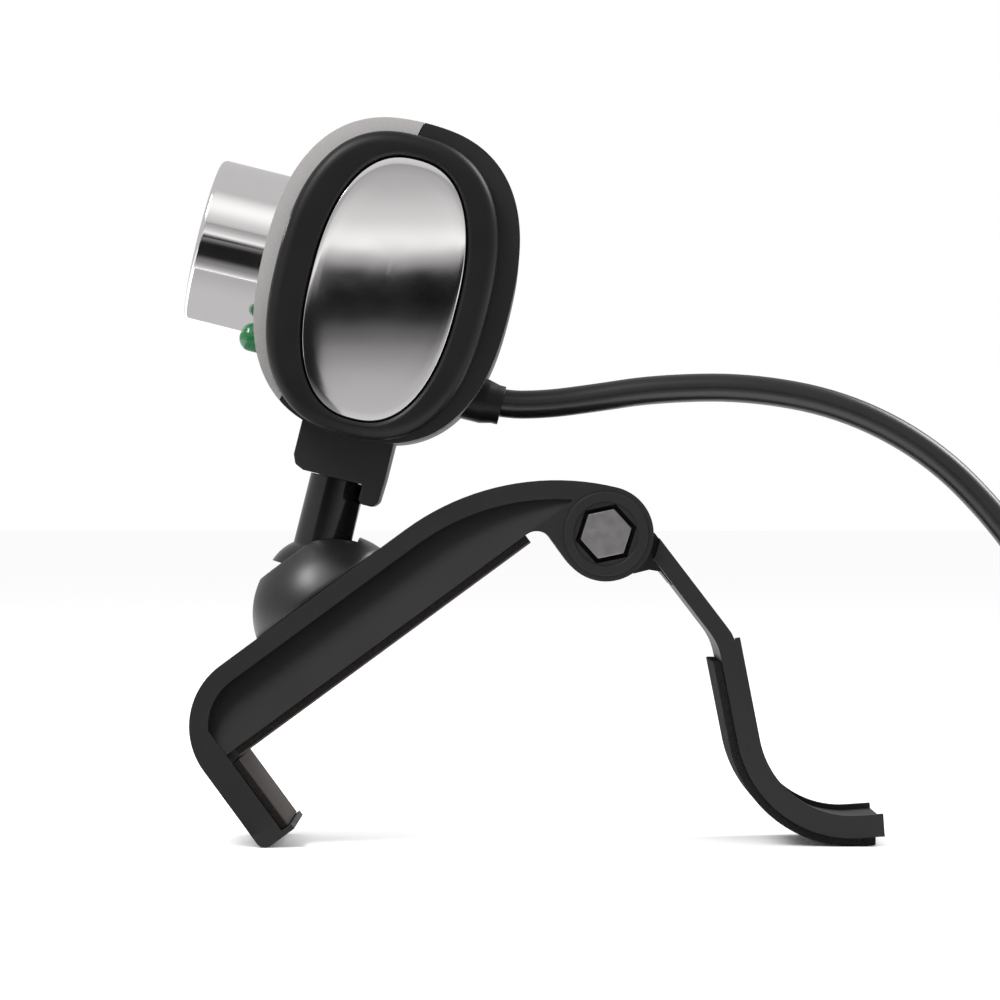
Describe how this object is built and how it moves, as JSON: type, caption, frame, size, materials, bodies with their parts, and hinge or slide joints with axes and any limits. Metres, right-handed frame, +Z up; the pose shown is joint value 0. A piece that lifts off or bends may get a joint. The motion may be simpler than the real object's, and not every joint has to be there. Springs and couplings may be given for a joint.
{
  "type": "webcam on a hinged clip stand",
  "caption": "Small USB camera with a focus barrel on a leaning swivel stem, carried by a hinged screen clip with a rear leg that also stands on a table.",
  "frame": {"origin": "on the surface that the clip stands on, under the middle of the camera and clip without its cable", "axes": "+Z up; +Y backwards, so the lens looks towards -Y; +X across the clip"},
  "size_m": [0.0598, 0.2096, 0.1116],
  "materials": {
    "satin_black_abs": "moulded ABS with a fine satin texture",
    "gloss_black_abs": "polished moulded ABS",
    "soft_black_rubber": "soft-touch overmoulded rubber",
    "bright_chrome": "mirror chrome plating on ABS",
    "black_foam": "closed-cell foam pad",
    "rubber_facing": "thin ribbed grip rubber",
    "zinc_steel": "zinc-plated steel",
    "nylon": "natural nylon",
    "green_lens": "tinted LED lens",
    "lens_glass": "coated optical glass",
    "circuit_board": "solder-masked circuit board",
    "chip_black": "moulded chip package",
    "cable_pvc": "black PVC jacket",
    "plug_metal": "nickel-plated steel",
    "tongue_white": "white moulded insulator"
  },
  "bodies": {
    "clip": {"clip_arm": "satin_black_abs", "arm_cover": "satin_black_abs", "cover_screws": "zinc_steel", "arm_pad": "black_foam", "arm_pad_facing": "rubber_facing", "hook_pad": "black_foam", "hook_pad_facing": "rubber_facing", "hinge_bolt": "zinc_steel", "hinge_nut": "zinc_steel", "hinge_washers": "nylon"},
    "leg": {"rear_leg": "satin_black_abs", "leg_pad": "black_foam"},
    "turret": {"turret_dome": "satin_black_abs", "turret_retainer": "zinc_steel", "turret_screw": "zinc_steel", "tilt_pin": "zinc_steel"},
    "stem_body": {"stem": "gloss_black_abs", "pan_washer": "zinc_steel", "pan_screw": "zinc_steel"},
    "head": {"front_plate": "bright_chrome", "rear_shell": "satin_black_abs", "side_frame_right": "soft_black_rubber", "side_frame_left": "soft_black_rubber", "side_disc_right": "bright_chrome", "side_disc_left": "bright_chrome", "frame_screws": "zinc_steel", "lens_barrel": "bright_chrome", "lens_mount": "satin_black_abs", "sensor_board": "circuit_board", "image_sensor": "chip_black", "usb_chip": "chip_black", "cable_header": "tongue_white", "board_screws": "zinc_steel", "neck_socket": "satin_black_abs", "cable_grommet": "soft_black_rubber", "status_led": "green_lens", "usb_cable": "cable_pvc", "cable_coil": "cable_pvc", "cable_tail": "cable_pvc", "plug_relief": "cable_pvc", "plug_grip": "cable_pvc", "plug_shell": "plug_metal", "plug_tongue": "tongue_white"},
    "focus": {"focus_ring": "satin_black_abs", "lens_cell": "satin_black_abs", "front_glass": "lens_glass", "rear_glass": "lens_glass"}
  },
  "joints": [
    {"name": "leg_hinge", "type": "hinge", "parent": "clip", "child": "leg", "pos_m": [0, 0.01122, 0.04802], "axis": [-1, 0, 0], "range_deg": [0, 80]},
    {"name": "turret_swivel", "type": "hinge", "parent": "clip", "child": "turret", "pos_m": [0, -0.0333, 0.03853], "axis": [0, -0.592, 0.8059], "range_deg": [-90, 90]},
    {"name": "stem_tilt", "type": "hinge", "parent": "turret", "child": "stem_body", "pos_m": [0, -0.03436, 0.03998], "axis": [1, 0, 0], "range_deg": [-5, 43]},
    {"name": "head_pan", "type": "hinge", "parent": "stem_body", "child": "head", "pos_m": [0, -0.02287, 0.08607], "axis": [0, 0.2419, 0.9703], "range_deg": [-90, 90]},
    {"name": "focus_turn", "type": "hinge", "parent": "head", "child": "focus", "pos_m": [0, -0.04599, 0.09255], "axis": [0, -0.9703, 0.2419], "range_deg": [-150, 150]}
  ]
}
